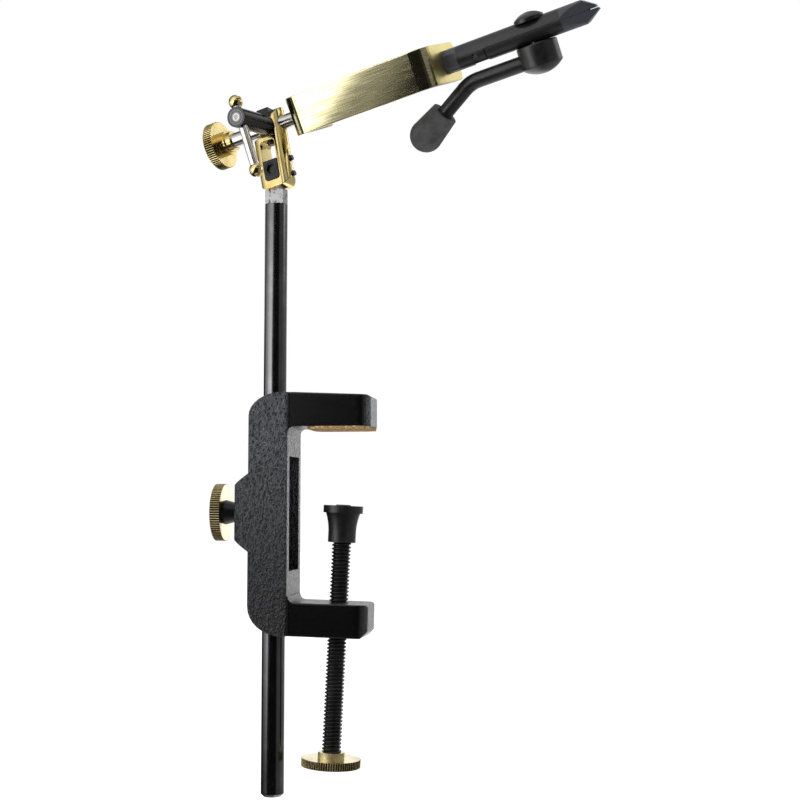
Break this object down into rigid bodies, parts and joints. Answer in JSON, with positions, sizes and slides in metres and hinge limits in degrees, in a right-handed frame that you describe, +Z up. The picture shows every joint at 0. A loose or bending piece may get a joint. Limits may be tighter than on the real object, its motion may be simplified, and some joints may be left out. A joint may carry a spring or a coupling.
{
  "type": "fly tying vise",
  "caption": "Rotary vise with cam-lever jaws on a U-shaped crank arm, a tilting yoke head, and a round stem held in a C-clamp for a table edge.",
  "frame": {"origin": "centre of the cork pad's underside, where the clamp rests on the table", "axes": "+Z up along the stem, +X from the stem towards the clamp's open side and the jaws, +Y away from the lever side"},
  "size_m": [0.169, 0.0664, 0.3109],
  "materials": {
    "frame_coat": "fine wrinkled black coat",
    "cork": "granular cork",
    "brass": "polished, knurled on the knobs",
    "arm_brass": "brushed lengthwise and polished",
    "black_steel": "smooth black oxide",
    "jaw_steel": "dark hardened, satin",
    "bright_steel": "polished",
    "grip_rubber": "matt dark grey"
  },
  "bodies": {
    "clamp": {"clamp_frame": "frame_coat", "cork_pad": "cork"},
    "stem": {"stem_rod": "black_steel"},
    "stem_top": {"stem_tang": "bright_steel"},
    "head": {"yoke": "brass", "pivot_block": "black_steel", "pivot_screw": "black_steel", "pivot_nut": "bright_steel", "block_screws": "black_steel", "bearing_block": "black_steel", "bearing_screw": "black_steel"},
    "drag": {"drag_pad": "brass"},
    "tommy": {"tommy_screw": "black_steel"},
    "bar": {"tommy_bar": "bright_steel", "tommy_balls": "brass"},
    "rotor": {"rotary_shaft": "bright_steel", "rotary_knob": "brass", "knob_set_screw": "black_steel", "crank_arm": "arm_brass", "shaft_washer": "bright_steel", "shaft_nut": "bright_steel", "jaw_nut": "black_steel", "upper_jaw": "jaw_steel", "jaw_pin": "bright_steel", "jaw_spring": "bright_steel", "cam_bolt": "black_steel"},
    "jaw": {"lower_jaw": "jaw_steel"},
    "cam": {"cam_body": "black_steel", "cam_lever": "black_steel", "lever_grip": "grip_rubber"},
    "lock": {"lock_pad": "brass"},
    "lock_turner": {"lock_screw": "black_steel", "lock_knob": "brass", "lock_knob_pin": "bright_steel"},
    "cup_end": {"cup": "black_steel"},
    "screw": {"clamp_screw": "black_steel", "clamp_knob": "brass", "clamp_knob_pin": "bright_steel"}
  },
  "joints": [
    {"name": "stem_height", "type": "slide", "parent": "clamp", "child": "stem", "axis": [0, 0, 1], "range_m": [-0.078, 0.05]},
    {"name": "stem_turn", "type": "hinge", "parent": "stem", "child": "stem_top", "pos_m": [-0.0286, 0, 0.0954], "axis": [0, 0, 1], "continuous": true},
    {"name": "head_tilt", "type": "hinge", "parent": "stem_top", "child": "head", "pos_m": [-0.0286, 0, 0.1099], "axis": [-0.3173, -0.9483, 0], "range_deg": [-11.2, 18.8]},
    {"name": "drag_move", "type": "slide", "parent": "head", "child": "drag", "axis": [-0.2967, -0.9496, -0.1008], "range_m": [0, 0.0006]},
    {"name": "tommy_turn", "type": "hinge", "parent": "drag", "child": "tommy", "pos_m": [-0.03106, 0.00082, 0.12916], "axis": [-0.2967, -0.9496, -0.1008], "range_deg": [0, 360.01]},
    {"name": "bar_slide", "type": "slide", "parent": "tommy", "child": "bar", "axis": [-0.2961, -0.0089, 0.9551], "range_m": [0, 0.01545]},
    {"name": "rotary_spin", "type": "hinge", "parent": "head", "child": "rotor", "pos_m": [-0.03217, 0.0012, 0.12893], "axis": [0.9303, -0.3113, 0.1942], "continuous": true},
    {"name": "jaw_open", "type": "hinge", "parent": "rotor", "child": "jaw", "pos_m": [0.0593, -0.02885, 0.14657], "axis": [0.2302, 0.9074, 0.3515], "range_deg": [0, 1.5]},
    {"name": "cam_turn", "type": "hinge", "parent": "jaw", "child": "cam", "pos_m": [0.08118, -0.03673, 0.1526], "axis": [-0.2857, -0.2823, 0.9158], "range_deg": [0, 90]},
    {"name": "lock_move", "type": "slide", "parent": "clamp", "child": "lock", "axis": [-1, 0, 0], "range_m": [0, 0.00254]},
    {"name": "lock_turn", "type": "hinge", "parent": "lock", "child": "lock_turner", "pos_m": [-0.049, 0, -0.0339], "axis": [-1, 0, 0], "range_deg": [0, 720.01]},
    {"name": "cup_move", "type": "slide", "parent": "clamp", "child": "cup_end", "axis": [0.0471, 0, 0.9989], "range_m": [-0.024, 0.0303]},
    {"name": "screw_turn", "type": "hinge", "parent": "cup_end", "child": "screw", "pos_m": [-0.00161, 0, -0.07742], "axis": [0.0471, 0, 0.9989], "range_deg": [-5760.01, 7272.01]}
  ],
  "couplings": [
    {"joint": "tommy_turn", "follows": "drag_move", "rad_per_m": 10472},
    {"joint": "jaw_open", "follows": "cam_turn", "ratio": 0.016667},
    {"joint": "lock_turn", "follows": "lock_move", "rad_per_m": 4947.4},
    {"joint": "screw_turn", "follows": "cup_move", "rad_per_m": 4188.8}
  ]
}
